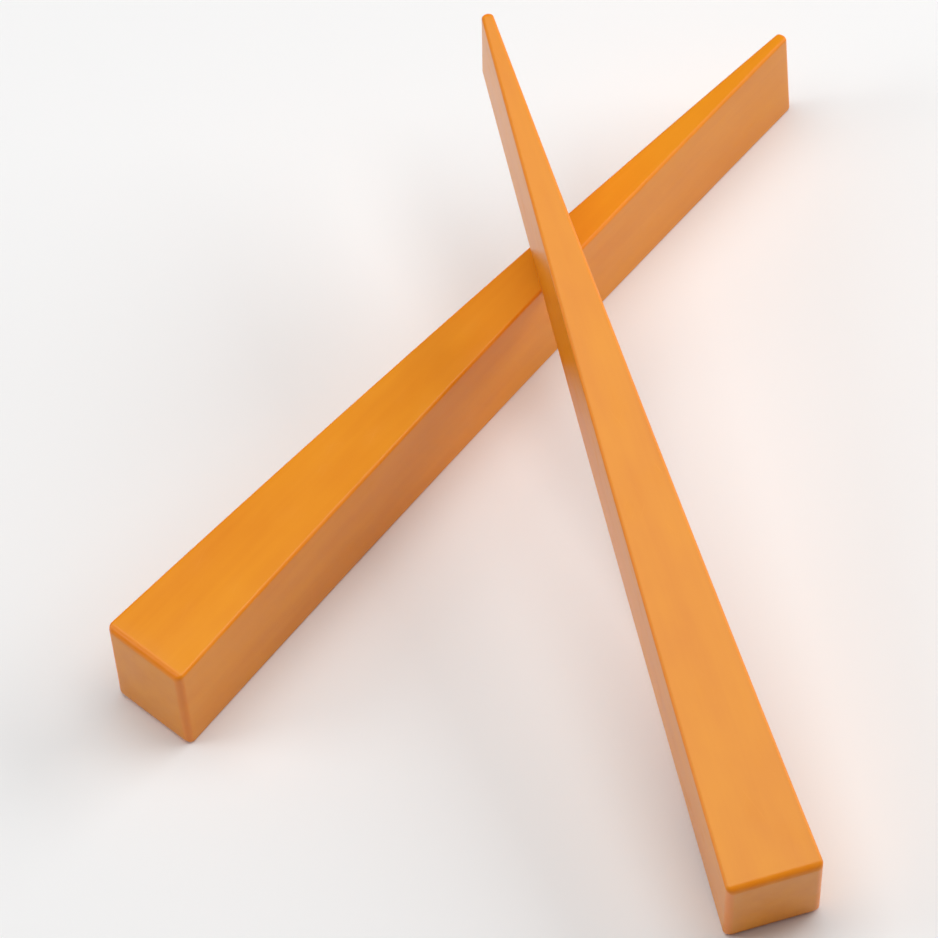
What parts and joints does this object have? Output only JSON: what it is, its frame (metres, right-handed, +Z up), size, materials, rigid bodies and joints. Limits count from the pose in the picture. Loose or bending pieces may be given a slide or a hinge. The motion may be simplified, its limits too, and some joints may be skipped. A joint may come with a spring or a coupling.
{
  "type": "alignment stick",
  "caption": "Long, solid orange wedge-shaped alignment sticks, lying crossed; the upper one rests on the lower one and lifts off.",
  "frame": {"origin": "middle of the lower stick's underside, on the surface that both sticks stand on", "axes": "+X along the lower stick from its thick end to its thin end, +Z up"},
  "size_m": [0.305, 0.2678, 0.0926],
  "materials": {
    "lower_stick_orange": "satin",
    "upper_stick_orange": "satin"
  },
  "bodies": {
    "lower": {"lower_stick": "lower_stick_orange"},
    "upper": {"upper_stick": "upper_stick_orange"}
  },
  "joints": [
    {"name": "upper_lift", "type": "slide", "parent": "lower", "child": "upper", "axis": [0, 0, 1], "range_m": [0, 0.1]}
  ]
}
